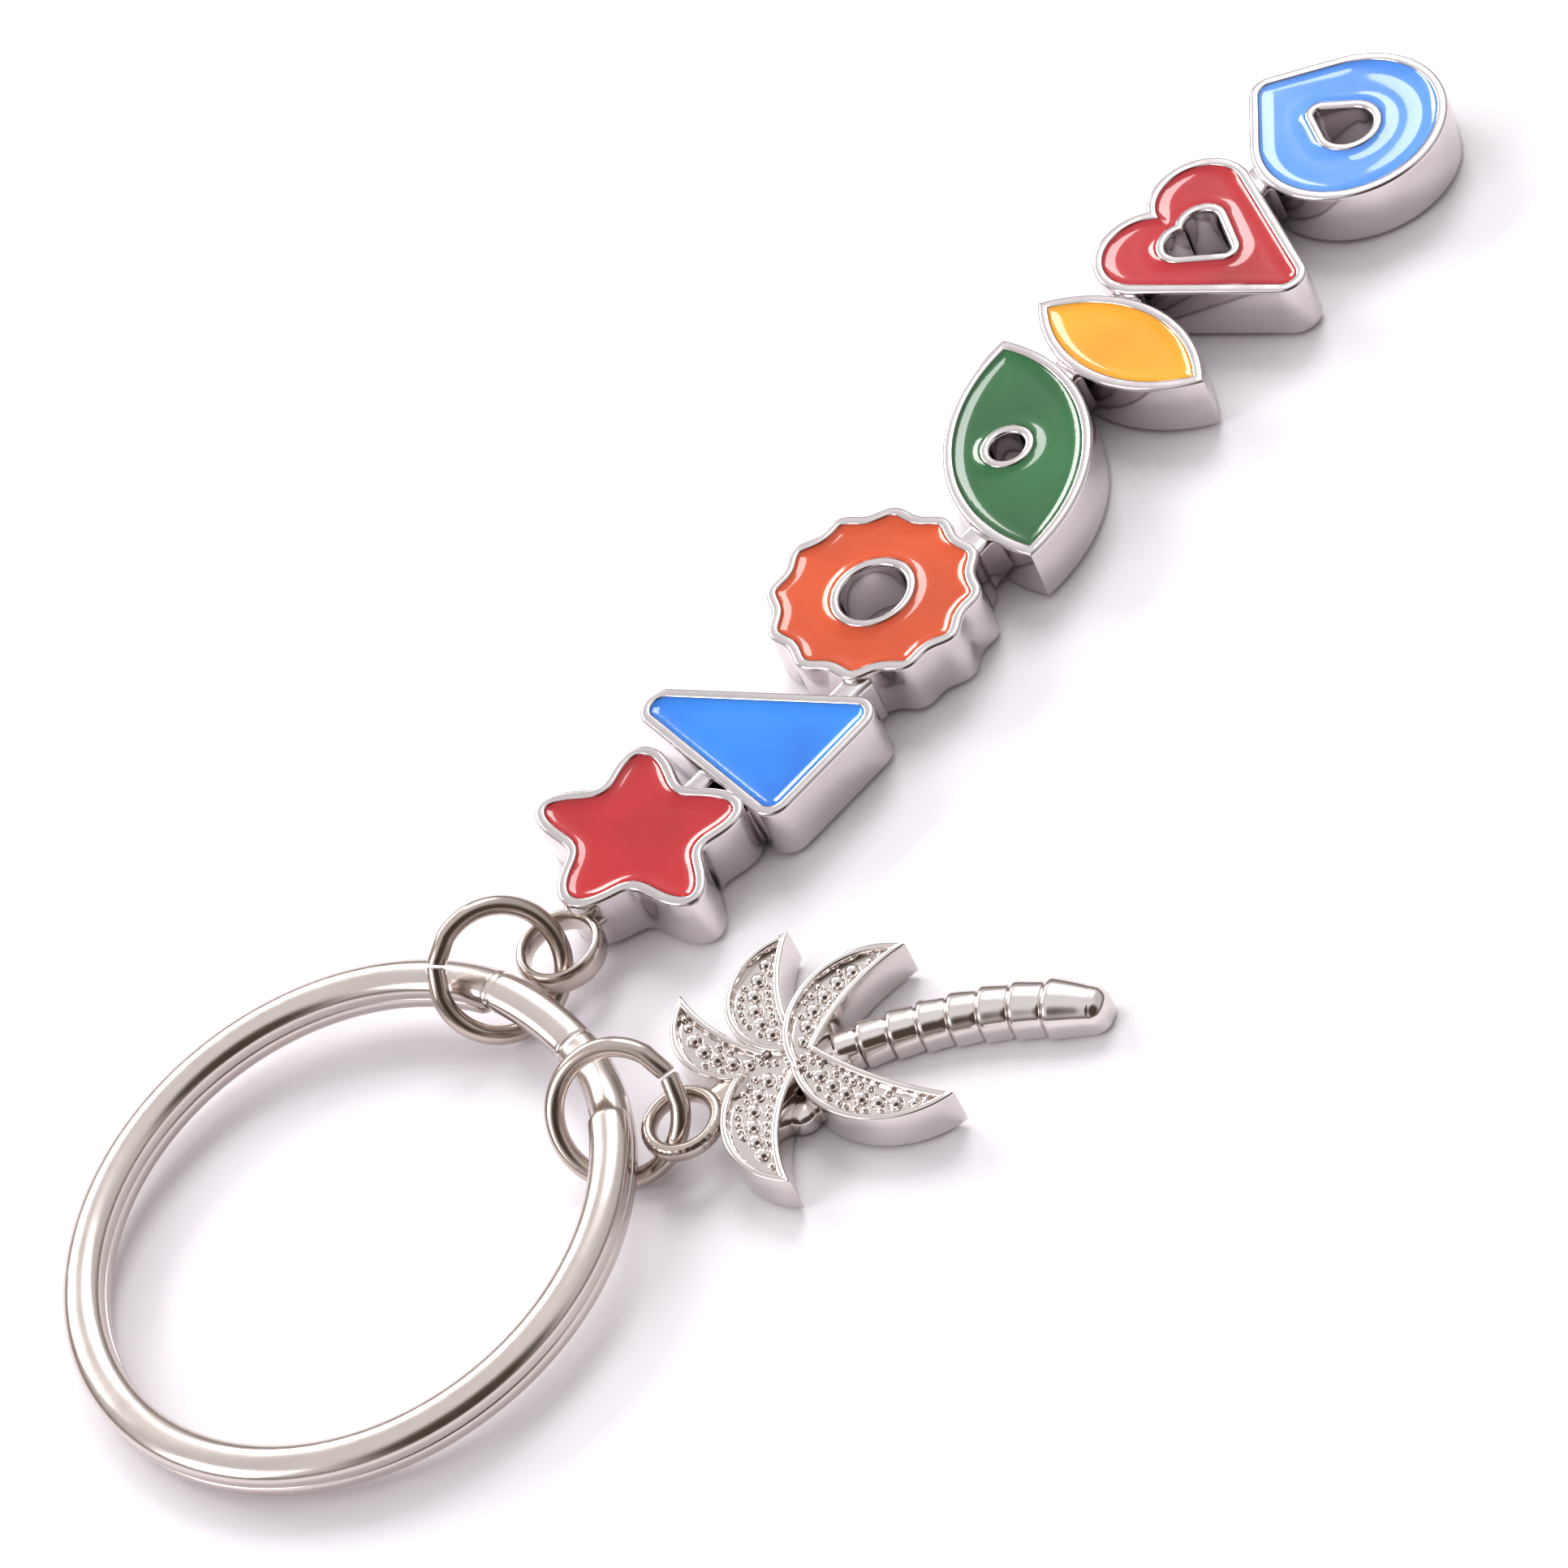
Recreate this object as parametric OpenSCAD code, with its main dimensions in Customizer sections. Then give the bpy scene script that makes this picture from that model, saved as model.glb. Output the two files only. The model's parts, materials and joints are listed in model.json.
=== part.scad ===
// Souvenir keychain: a split ring, two jump rings, a cast and enamelled bar of seven
// beach shapes, and a small cast palm charm. Millimetres. The origin is the middle of the
// split ring, +X runs out along the bar and +Z points up from the lying keychain.

/* [Split ring] */
// Outside diameter of the split ring
ring_od = 32; // [24:0.5:40]
// Inside diameter of the split ring
ring_id = 27.6; // [20:0.1:36]
// Height of one turn of the ring wire
turn_h = 1.25; // [0.8:0.05:2]
// Tilt of the ring, raised where the jump rings pass under it
ring_tilt = 2.55; // [0:0.05:5]
// Gap left between the two turns
seam = 0.04; // [0.02:0.01:0.2]

/* [Jump rings] */
// Mean radius of a jump ring
jump_r = 3.45; // [2.5:0.05:5]
// Diameter of the jump ring wire
jump_wire = 1.06; // [0.6:0.02:1.6]
// Width of the cut in a jump ring
jump_cut = 0.16; // [0.05:0.01:0.6]
// Lean of the bar's jump ring from flat
bar_jump_tilt = 56.7; // [20:0.1:90]
// Lean of the charm's jump ring from flat
charm_jump_tilt = 44.5; // [20:0.1:90]

/* [Bar] */
// Thickness of the cast bar
bar_h = 3.56; // [2:0.02:6]
// Height of a shape on the bar, across the bar
shape_h = 13.1; // [8:0.1:20]
// Width of the bare metal rim
rim = 0.62; // [0.3:0.02:1.2]
// Depth of the hollows that hold the enamel
recess = 0.85; // [0.3:0.05:1.5]
// How far the enamel stays below the rim
enamel_low = 0.1; // [0:0.01:0.4]
// Bar eye hole diameter
bar_eye_id = 3.6; // [2:0.1:6]
// Bar eye outside diameter
bar_eye_od = 5; // [3:0.1:8]

/* [Palm charm] */
// Thickness of the palm's fronds
frond_h = 2.45; // [1.5:0.05:4]
// Width of a frond's raised rim
frond_rim = 0.34; // [0.2:0.02:0.8]
// Depth of a frond's tray
tray = 0.45; // [0.2:0.05:1]
// Charm eye hole diameter
charm_eye_id = 3.1; // [2:0.1:5]
// Charm eye outside diameter
charm_eye_od = 4.5; // [3:0.1:7]

/* [Hidden] */
$fn = 64;
base_z = -1.98; // underside of the lying bar and charm
ring_ro = ring_od / 2;
ring_ri = ring_id / 2;
crown_h = 0.4; // rise of the wire's rounded outer face
end_a = -36; // cut end of the upper turn
end_b = 14; // cut end of the lower turn
jog_hi = 11; // where the wire leaves the upper turn
jog_lo = -11; // where it reaches the lower turn
bar_jump_at = [15.51, 3.48, 1.335];
charm_jump_at = [12.5, -8.98, 0.87];
bar_eye_at = [18.6, 2.35];
charm_eye_at = [14.2, -12];
nickel = [0.78, 0.75, 0.72];
cast_metal = [0.82, 0.8, 0.78];
hues = [[0.76, 0.1, 0.12], [0.2, 0.55, 0.92], [0.86, 0.36, 0.1], [0.12, 0.42, 0.2],
        [0.97, 0.68, 0.1], [0.75, 0.12, 0.18], [0.4, 0.64, 0.96]];

// Centres of the seven shapes along the bar, and their half width
shape_x = [25.6, 34.95, 44.98, 56.85, 65.45, 73.65, 84.18];
shape_y = 3.36;
half = shape_h / 2;
half_w = [5.1, 4.45, 6.0, 5.8, 2.95, 5.45, 5.75];
// Necks between neighbours: shape they belong to, start, end, height across the bar, width
necks = [[0, 4.4, 5.9, -3.3, 2.0], [0, 3.95, 6.5, -0.3, 1.5], [1, 3.0, 5.5, -3.3, 1.8],
         [2, 4.9, 7.0, -2.2, 2.2], [3, 5.0, 6.6, 1.8, 2.2], [4, 2.2, 3.8, 2.5, 2.0],
         [5, 4.4, 6.0, 1.6, 2.2]];
neck_lip = 0.35; // the necks stay this far below the rims

// ---- outlines ----
// Moves every point of a closed counter-clockwise outline inwards by d
function inset(p, d) = let(n = len(p)) [for (i = [0:n - 1])
    let(q = p[(i + 1) % n] - p[(i + n - 1) % n]) p[i] + d * [-q[1], q[0]] / norm(q)];
// Wavy closed curve with n lobes
function lobes(a, b, k, n, turn, steps) = [for (i = [0:steps - 1])
    let(t = 360 * i / steps, r = 1 - k + k * cos(n * (t - turn))) [a * r * cos(t), b * r * sin(t)]];
// Pointed oval from two arcs, half length l, half width w, drawn smaller by d
function lens(l, w, d) = let(r0 = (l * l + w * w) / (2 * w), r = r0 - d, c = r0 - w,
    a = acos(c / r)) concat(
    [for (i = [0:23]) let(t = -a + 2 * a * i / 24) [r * cos(t) - c, r * sin(t)]],
    [for (i = [0:23]) let(t = 180 - a + 2 * a * i / 24) [r * cos(t) + c, r * sin(t)]]);
function turned(p, a) = [for (q = p) [q[0] * cos(a) - q[1] * sin(a), q[0] * sin(a) + q[1] * cos(a)]];
function moved(p, v) = [for (q = p) q + v];
function arc(c, r, a0, a1, n, first = 0) = [for (i = [first:n])
    let(t = a0 + (a1 - a0) * i / n) c + r * [cos(t), sin(t)]];
// Heart: two lobes and a rounded tip, drawn smaller by d
function heart(r, a, up, low, tip, d) = let(
    n = atan2(low + up, a) - acos((tip - r) / norm([a, low + up])), f = acos(a / (r - d))) concat(
    arc([0, -low], tip - d, 180 - n, 360 + n, 8),
    arc([a, up], r - d, n, 180 - f, 18),
    arc([-a, up], r - d, f, 180 - n, 18, 1));
// Drop: big round end, small round tip, drawn smaller by d
function drop(r, low, tip, up, d) = let(a = asin((r - tip) / (low + up))) concat(
    arc([0, -low], r - d, 180 - a, 360 + a, 30), arc([0, up], tip - d, a, 180 - a, 8));
// Triangle with rounded corners, drawn smaller by d
function sail(d) = let(c = [[-3.2, -5.15], [3.05, -5.15], [-1.9, 5.05]], r = 1.35 - d) [for (i = [0:2])
    let(u = c[i] - c[(i + 2) % 3], v = c[(i + 1) % 3] - c[i], a = atan2(u[1], u[0]) - 90,
        b0 = atan2(v[1], v[0]) - 90, b = b0 < a ? b0 + 360 : b0)
    for (j = [0:7]) let(t = a + (b - a) * j / 7) c[i] + r * [cos(t), sin(t)]];
// Outline of shape k, drawn smaller by d
function outline(k, d) =
    k == 0 ? moved(inset(lobes(5.6, half + 0.3, 0.17, 5, 180, 100), d), [0.46, 0]) :
    k == 1 ? sail(d) :
    k == 2 ? inset(lobes(half_w[2], half, 0.035, 12, 0, 120), d) :
    k == 3 ? turned(lens(8.5, 4.3, d), -41) :
    k == 4 ? lens(half, half_w[4], d) :
    k == 5 ? heart(3.15, 2.3, 3.4, 5.2, 1.35, d) :
    drop(5.75, 0.8, 1.35, 5.2, d);

// ---- split ring ----
// Section of the upper turn: flat below, rounded above
function turn_section() = concat(
    [[ring_ri + 0.1, seam / 2], [ring_ro - 0.1, seam / 2], [ring_ro, seam / 2 + 0.1]],
    [for (i = [0:10]) let(t = 18 * i, m = (ring_ri + ring_ro) / 2, w = (ring_ro - ring_ri) / 2)
        [m + w * cos(t), turn_h - crown_h + crown_h * sin(t)]],
    [[ring_ri, seam / 2 + 0.1]]);

module turn(a0, a1) {
    rotate([0, 0, a0]) rotate_extrude(angle = a1 - a0, $fn = 180) polygon(turn_section());
}

// Slimmer oval section of the jog, so that both of its ends sit inside the turns
function jog_section() = let(m = (ring_ri + ring_ro) / 2, w = (ring_ro - ring_ri) / 2 - 0.03)
    [for (side = [1, -1]) for (i = [0:8]) let(t = side > 0 ? 22.5 * i : 180 + 22.5 * i)
        [m + w * cos(t), turn_h / 2 + 0.01 + 0.215 * side + 0.37 * sin(t)]];

// Thin slice of the jog at angle a, dropping from the upper turn to the lower
module jog_slice(a) {
    t = min(1, max(0, (a - jog_lo) / (jog_hi - jog_lo)));
    rotate([0, 0, a]) translate([0, 0, -turn_h * (1 - t)])
        rotate_extrude(angle = 0.2, $fn = 180) polygon(jog_section());
}
jog_steps = [-12, -11, -5.5, 0, 5.5, 11, 12];

module split_ring() {
    color(nickel) rotate([0, -ring_tilt, 0]) {
        turn(jog_hi, 360 + end_a);
        mirror([0, 0, 1]) turn(end_b, 360 + jog_lo);
        for (i = [0:5]) hull() {
            jog_slice(jog_steps[i]);
            jog_slice(jog_steps[i + 1]);
        }
    }
}

// ---- jump rings ----
// Raised towards azimuth az and cut at angle cut from the highest point
module jump_ring(at, az, tilt, cut) {
    gap = 2 * asin(jump_cut / 2 / jump_r);
    color(nickel) translate(at) rotate([0, 0, az]) rotate([0, -tilt, 0]) rotate([0, 0, cut + gap / 2])
        rotate_extrude(angle = 360 - gap, $fn = 96) translate([jump_r, 0]) circle(d = jump_wire, $fn = 32);
}

module bar_jump_ring() { jump_ring(bar_jump_at, 79.06, bar_jump_tilt, 49); }
module charm_jump_ring() { jump_ring(charm_jump_at, 38.65, charm_jump_tilt, -61.5); }

// ---- bar ----
module prism(p, z0, z1) { translate([0, 0, z0]) linear_extrude(z1 - z0) polygon(p); }

// Opening right through shape k, drawn larger by d
module opening(k, d) {
    translate([0, 0, -1]) {
        if (k == 2) cylinder(r = 1.9 + d, h = bar_h + 2);
        if (k == 3) translate([-0.3, 0.5, 0]) cylinder(r = 1 + d, h = bar_h + 2);
        if (k == 5) prism(moved(heart(1.0 + d, 0.8, 1.0, 1.6, 0.3 + d, 0), [0, 0.9]), 0, bar_h + 2);
        if (k == 6) prism(drop(1.4 + d, 0.8, 0.3 + d, 1.4, 0), 0, bar_h + 2);
    }
}

module hollow(k, d, z0, z1) {
    difference() {
        prism(outline(k, rim + d), z0, z1);
        opening(k, rim * 0.9 + d);
    }
}

module shape_necks(k) {
    for (n = necks) if (n[0] == k)
        translate([n[1], n[3] - n[4] / 2, 0.3]) cube([n[2] - n[1], n[4], bar_h - neck_lip - 0.3]);
}

// Shape k with its necks, cut back to the next shape's wall
module shape_cast(k) {
    color(cast_metal) translate([shape_x[k], shape_y, base_z]) difference() {
        union() {
            prism(outline(k, 0), 0, bar_h);
            shape_necks(k);
        }
        hollow(k, 0, bar_h - recess, bar_h + 1);
        opening(k, 0);
        if (k < 6) translate([shape_x[k + 1] - shape_x[k], 0, 0]) prism(outline(k + 1, 0), -1, bar_h + 1);
    }
}

module shape_enamel(k) {
    color(hues[k]) translate([shape_x[k], shape_y, base_z])
        hollow(k, 0.02, bar_h - recess, bar_h - enamel_low);
}

module star_cast() { shape_cast(0); }
module sail_cast() { shape_cast(1); }
module sun_cast() { shape_cast(2); }
module leaf_cast() { shape_cast(3); }
module board_cast() { shape_cast(4); }
module heart_cast() { shape_cast(5); }
module drop_cast() { shape_cast(6); }
module star_enamel() { shape_enamel(0); }
module sail_enamel() { shape_enamel(1); }
module sun_enamel() { shape_enamel(2); }
module leaf_enamel() { shape_enamel(3); }
module board_enamel() { shape_enamel(4); }
module heart_enamel() { shape_enamel(5); }
module drop_enamel() { shape_enamel(6); }

module bar_eye() {
    color(cast_metal) difference() {
        translate([bar_eye_at[0], bar_eye_at[1], base_z + 1.4]) difference() {
            union() {
                cylinder(d = bar_eye_od, h = 1.5);
                translate([1.8, -0.9, 0]) cube([1.4, 2.4, 1.5]);
            }
            translate([0, 0, -1]) cylinder(d = bar_eye_id, h = 4);
        }
        translate([shape_x[0], shape_y, base_z]) prism(outline(0, 0), -1, bar_h + 1);
    }
}

// ---- palm charm ----
// Each frond: base point, tip, outer bulge, inner bulge, and side of the bulge
fronds = [[[20.39, -14.37], [19.91, -6.04], 3.41, 0.78, 1], [[21.08, -14.59], [25.99, -8.32], 4.0, 0.87, 1],
          [[19.65, -15.85], [28.72, -14.64], 3.76, 0.97, 1], [[21.46, -13.1], [23.15, -23.74], 3.53, 0.61, -1],
          [[22.97, -14.85], [14.51, -20.02], 4.98, 1.61, -1]];
// Fronds that lie over frond k where they meet, and the trays that run into its tray
over = [[1, 2, 3], [], [], [2], [0, 1, 3]];
trays = [[0, 4], [1], [2, 3], [2, 3], [0, 4]];
// Disc in the middle of the crown, part of the first frond: centre and radius
root = [19.9, -14, 0.9];
function bulge_r(c, s) = (c * c / 4 + s * s) / (2 * s);
function frond_n(f) = f[4] * [f[0][1] - f[1][1], f[1][0] - f[0][0]] / norm(f[1] - f[0]);
function arc_r(k, i) = bulge_r(norm(fronds[k][1] - fronds[k][0]), fronds[k][i]);
function arc_c(k, i) = (fronds[k][0] + fronds[k][1]) / 2 + frond_n(fronds[k]) * (fronds[k][i] - arc_r(k, i));
// Full disc inside the outer edge of frond k, drawn smaller by d, between two heights
module frond_disc(k, d, z0, z1) {
    c = arc_c(k, 2);
    translate([c[0], c[1], z0]) cylinder(r = arc_r(k, 2) - d, h = z1 - z0, $fn = 96);
}
// Crescent solid of frond k
module crescent(k, d, z0, z1) {
    c = arc_c(k, 3);
    difference() {
        frond_disc(k, d, z0, z1);
        translate([c[0], c[1], z0 - 1]) cylinder(r = arc_r(k, 3) + d, h = z1 - z0 + 2, $fn = 192);
    }
}

// Row of cast beads along the middle of a tray
module beads(k) {
    f = fronds[k];
    for (i = [0:4]) {
        t = 0.42 + 0.105 * i;
        w = 4 * t * (1 - t);
        p = f[0] + (f[1] - f[0]) * t + frond_n(f) * (f[2] + f[3]) / 2 * w;
        r = min(0.55, (f[2] - f[3]) * w * 0.5 - frond_rim - 0.15);
        translate([p[0], p[1], frond_h - tray - 0.1]) cylinder(r1 = r, r2 = r * 0.6, h = 0.45, $fn = 24);
    }
}

module frond(k) {
    color(cast_metal) translate([0, 0, base_z]) {
        difference() {
            union() {
                crescent(k, 0, 0, frond_h);
                if (k == 0) translate([root[0], root[1], 0]) cylinder(r = root[2], h = frond_h);
            }
            for (j = trays[k]) crescent(j, frond_rim, frond_h - tray, frond_h + 1);
            for (j = over[k]) crescent(j, 0, -1, frond_h + 1);
            if (k == 1 || k == 4) frond_disc(2, 0, -1, frond_h + 1);
            if (k == 3) translate([18, -14.65, -1]) cube([5, 3, frond_h + 2]);
            if (k == 4) {
                translate([root[0], root[1], -1]) cylinder(r = root[2], h = frond_h + 2);
                translate([19.85, -17, -1]) cube([5, 6, frond_h + 2]);
            }
        }
        beads(k);
    }
}

module frond_1() { frond(0); }
module frond_2() { frond(1); }
module frond_3() { frond(2); }
module frond_4() { frond(3); }
module frond_5() { frond(4); }

// Low webs in the two corners on either side of the lower frond: centre and radius
webs = [[21.9, -15.5, 0.9], [18.6, -16, 1]];
web_h = 1.5;
module web_discs(z0, z1) {
    for (w = webs) translate([w[0], w[1], z0]) cylinder(r = w[2], h = z1 - z0);
}
module crown_web() {
    color(cast_metal) translate([0, 0, base_z]) difference() {
        web_discs(0, web_h);
        for (j = [2:4]) crescent(j, 0, -1, frond_h + 1);
    }
}

// Trunk: flared joints along a bent line, flat underneath
trunk_s = [0, 1.35, 3.0, 4.65, 6.3, 7.95, 9.65, 11.5, 14.1];
trunk_len = 15.1;
function trunk_head(s) = -32 - 34 * s / trunk_len;
function trunk_sum(s, n, off, i) = i < 0 ? 0
    : cos(trunk_head((i + 0.5) * s / n) - off) + trunk_sum(s, n, off, i - 1);
function trunk_point(s, n = 20) = [22.2, -15.05]
    + s / n * [trunk_sum(s, n, 0, n - 1), trunk_sum(s, n, 90, n - 1)];

module trunk_joint(i) {
    s0 = trunk_s[i];
    l = trunk_s[i + 1] - s0;
    r = 0.96 + 0.48 * s0 / trunk_len;
    p = trunk_point(s0);
    // each joint has its lip at the crown end; the last one tapers more
    translate([p[0], p[1], 0.72]) rotate([0, 0, trunk_head(s0 + l / 2)]) rotate([0, 90, 0])
        cylinder(r1 = r + 0.12, r2 = i < 7 ? r : r - 0.1, h = l);
}
module palm_trunk() {
    e = trunk_point(trunk_s[8]);
    color(cast_metal) translate([0, 0, base_z]) difference() {
        union() {
            for (i = [0:7]) trunk_joint(i);
            translate([e[0], e[1], 0.72]) rotate([0, 0, trunk_head(14.6)]) rotate([0, 90, 0])
                translate([0, 0, -0.3]) cylinder(r1 = 1.14, r2 = 0.7, h = 1.3);
        }
        translate([10, -40, -5]) cube([40, 40, 5]);
        for (j = [2:3]) crescent(j, 0, -1, frond_h + 1);
        web_discs(-1, 5);
    }
}

module charm_eye() {
    color(cast_metal) translate([0, 0, base_z]) difference() {
        translate([charm_eye_at[0], charm_eye_at[1], 1.6]) {
            cylinder(d = charm_eye_od, h = 1.0);
            rotate([0, 0, -12]) translate([1.7, -1.2, 0]) cube([3, 2.1, 0.7]);
        }
        translate([charm_eye_at[0], charm_eye_at[1], 0]) cylinder(d = charm_eye_id, h = 4);
        for (j = [0, 4]) crescent(j, 0, -1, frond_h + 1);
    }
}

split_ring();
bar_jump_ring();
charm_jump_ring();
bar_eye();
star_cast();
sail_cast();
sun_cast();
leaf_cast();
board_cast();
heart_cast();
drop_cast();
star_enamel();
sail_enamel();
sun_enamel();
leaf_enamel();
board_enamel();
heart_enamel();
drop_enamel();
frond_1();
frond_2();
frond_3();
frond_4();
frond_5();
crown_web();
palm_trunk();
charm_eye();
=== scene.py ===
import json
import math

import bmesh
import bpy
import numpy as np
from mathutils import Matrix, Vector
from mathutils.geometry import delaunay_2d_cdt


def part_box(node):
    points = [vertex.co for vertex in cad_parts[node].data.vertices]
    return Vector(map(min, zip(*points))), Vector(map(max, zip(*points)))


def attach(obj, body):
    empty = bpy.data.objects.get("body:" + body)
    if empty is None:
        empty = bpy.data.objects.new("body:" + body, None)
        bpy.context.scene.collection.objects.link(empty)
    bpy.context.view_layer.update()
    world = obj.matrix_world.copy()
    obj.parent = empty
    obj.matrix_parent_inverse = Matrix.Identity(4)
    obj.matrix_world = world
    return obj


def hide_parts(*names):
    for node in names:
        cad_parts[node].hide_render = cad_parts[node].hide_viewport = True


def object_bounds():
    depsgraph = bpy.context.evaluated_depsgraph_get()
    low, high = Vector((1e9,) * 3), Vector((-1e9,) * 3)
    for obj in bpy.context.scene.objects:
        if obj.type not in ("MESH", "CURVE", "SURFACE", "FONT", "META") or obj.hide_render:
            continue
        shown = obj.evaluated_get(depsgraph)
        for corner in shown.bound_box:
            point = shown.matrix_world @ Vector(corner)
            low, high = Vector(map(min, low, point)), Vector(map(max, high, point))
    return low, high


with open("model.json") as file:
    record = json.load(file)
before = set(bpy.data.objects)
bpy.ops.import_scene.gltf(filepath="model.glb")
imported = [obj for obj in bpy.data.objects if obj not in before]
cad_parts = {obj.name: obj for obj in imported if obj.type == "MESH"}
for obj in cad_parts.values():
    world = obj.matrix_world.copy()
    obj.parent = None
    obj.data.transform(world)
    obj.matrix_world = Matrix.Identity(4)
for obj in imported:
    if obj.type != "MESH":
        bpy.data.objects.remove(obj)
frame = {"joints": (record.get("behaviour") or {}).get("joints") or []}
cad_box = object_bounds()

# Lengths in this script are millimetres until the meshes are made; MM turns them into metres.
MM = 0.001
cos, sin, rad, deg, pi = np.cos, np.sin, np.radians, np.degrees, np.pi


def cad(node):
    """Lowest and highest corner of a CAD node, in millimetres."""
    return [np.array(corner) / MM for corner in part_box(node)]


def joint(name):
    return next(j for j in frame["joints"] if j["name"] == name)


low_corner, high_corner = cad("board_cast")
BASE_Z = low_corner[2]  # underside of the lying bar and charm
BAR_H = high_corner[2] - BASE_Z
SHAPE_Y = (low_corner[1] + high_corner[1]) / 2  # middle line of the bar
BAR_EYE = np.array(joint("bar_swing")["pos_m"]) / MM
CHARM_EYE = np.array(joint("charm_swing")["pos_m"]) / MM
RING_AXIS = joint("bar_ring_travel")["axis"]

# ---------------------------------------------------------------- outlines (the part's own formulas)
HALF = 6.55  # half the height of a shape
SUN_W, BOARD_W, DROP_W = 6.0, 2.95, 5.75  # half the widths
RIM, HOLE_RIM = 0.62, 0.56  # widths of the plated rims round a shape and round its opening
SHAPES = ["star", "sail", "sun", "leaf", "board", "heart", "drop"]
SHAPE_X = [25.6, 34.95, 44.98, 56.85, 65.45, 73.65, 84.18]
STAR, SAIL, SUN, LEAF, BOARD, HEART, DROP = range(7)
# (shape, first x, last x, y, width) of the necks, measured from the middle of their shape
NECKS = [(STAR, 4.4, 5.9, -3.3, 2.0), (STAR, 3.95, 6.5, -0.3, 1.5), (SAIL, 3.0, 5.5, -3.3, 1.8),
         (SUN, 4.9, 7.0, -2.2, 2.2), (LEAF, 5.0, 6.6, 1.8, 2.2), (BOARD, 2.2, 3.8, 2.5, 2.0),
         (HEART, 4.4, 6.0, 1.6, 2.2)]


def inset(p, d):
    q = np.roll(p, -1, 0) - np.roll(p, 1, 0)
    return p + d * np.stack([-q[:, 1], q[:, 0]], 1) / np.linalg.norm(q, axis=1)[:, None]


def lobes(a, b, depth, count, turn, steps):
    """Oval of half sizes a and b with rounded points round it."""
    t = 2 * pi * np.arange(steps) / steps
    r = 1 - depth + depth * cos(count * (t - rad(turn)))
    return np.stack([a * r * cos(t), b * r * sin(t)], 1)


def lens(l, w, d, steps=48):
    """Two arcs that meet in points; l and w are half the length and half the width."""
    full = (l * l + w * w) / (2 * w)
    r, c = full - d, full - w
    a = np.arccos(c / r)
    t = -a + 2 * a * np.arange(steps) / steps
    return np.concatenate([np.stack([r * cos(t) - c, r * sin(t)], 1),
                           np.stack([c - r * cos(t), -r * sin(t)], 1)])


def turned(p, a):
    c, s = cos(rad(a)), sin(rad(a))
    return np.stack([p[:, 0] * c - p[:, 1] * s, p[:, 0] * s + p[:, 1] * c], 1)


def arc(c, r, a0, a1, n, first=0):
    t = rad(a0 + (a1 - a0) * np.arange(first, n + 1) / n)
    return np.array(c) + r * np.stack([cos(t), sin(t)], 1)


def circle(c, r, n=72):
    return arc(c, r, 0, 360, n)[:-1]


def heart(r, a, up, low, tip, d):
    """Two lobes of radius r at (+-a, up), and a tip of radius tip at (0, -low)."""
    n = deg(np.arctan2(low + up, a)) - deg(np.arccos((tip - r) / np.hypot(a, low + up)))
    f = deg(np.arccos(min(1.0, a / (r - d))))  # deep insets part the lobes
    return np.concatenate([arc([0, -low], tip - d, 180 - n, 360 + n, 16),
                           arc([a, up], r - d, n, 180 - f, 40),
                           arc([-a, up], r - d, f, 180 - n, 40, 1)])


def drop(r, low, tip, up, d):
    """A round of radius r at (0, -low), and a tip of radius tip at (0, up)."""
    a = deg(np.arcsin((r - tip) / (low + up)))
    return np.concatenate([arc([0, -low], r - d, 180 - a, 360 + a, 70),
                           arc([0, up], tip - d, a, 180 - a, 20)])


def sail(d, r=1.35):
    """Triangle whose corners are rounded to radius r."""
    c = np.array([[-3.2, -5.15], [3.05, -5.15], [-1.9, 5.05]])
    out = []
    for i in range(3):
        u, v = c[i] - c[(i + 2) % 3], c[(i + 1) % 3] - c[i]
        a, b = deg(np.arctan2(u[1], u[0])) - 90, deg(np.arctan2(v[1], v[0])) - 90
        out.append(arc(c[i], r - d, a, b if b > a else b + 360, 18))
    return np.concatenate(out)


def outline(k, d):
    """Outline of shape k about its middle, drawn smaller by d."""
    if k == STAR:
        return inset(lobes(5.6, HALF + 0.3, depth=0.17, count=5, turn=180, steps=220), d) + [0.46, 0]
    if k == SAIL:
        return sail(d)
    if k == SUN:
        return inset(lobes(SUN_W, HALF, depth=0.035, count=12, turn=0, steps=264), d)
    if k == LEAF:
        return turned(lens(l=8.5, w=4.3, d=d), -41)
    if k == BOARD:
        return lens(l=HALF, w=BOARD_W, d=d)
    if k == HEART:
        return heart(r=3.15, a=2.3, up=3.4, low=5.2, tip=1.35, d=d)
    return drop(r=DROP_W, low=0.8, tip=1.35, up=5.2, d=d)


def opening(k, d):
    """Outline of the opening through shape k, drawn larger by d, or None."""
    if k == SUN:
        return circle([0, 0], 1.9 + d, 72)
    if k == LEAF:
        return circle([-0.3, 0.5], 1 + d, 56)
    if k == HEART:
        return heart(r=1 + d, a=0.8, up=1.0, low=1.6, tip=0.3 + d, d=0) + [0, 0.9]
    if k == DROP:
        return drop(r=1.4 + d, low=0.8, tip=0.3 + d, up=1.4, d=0)
    return None


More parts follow.
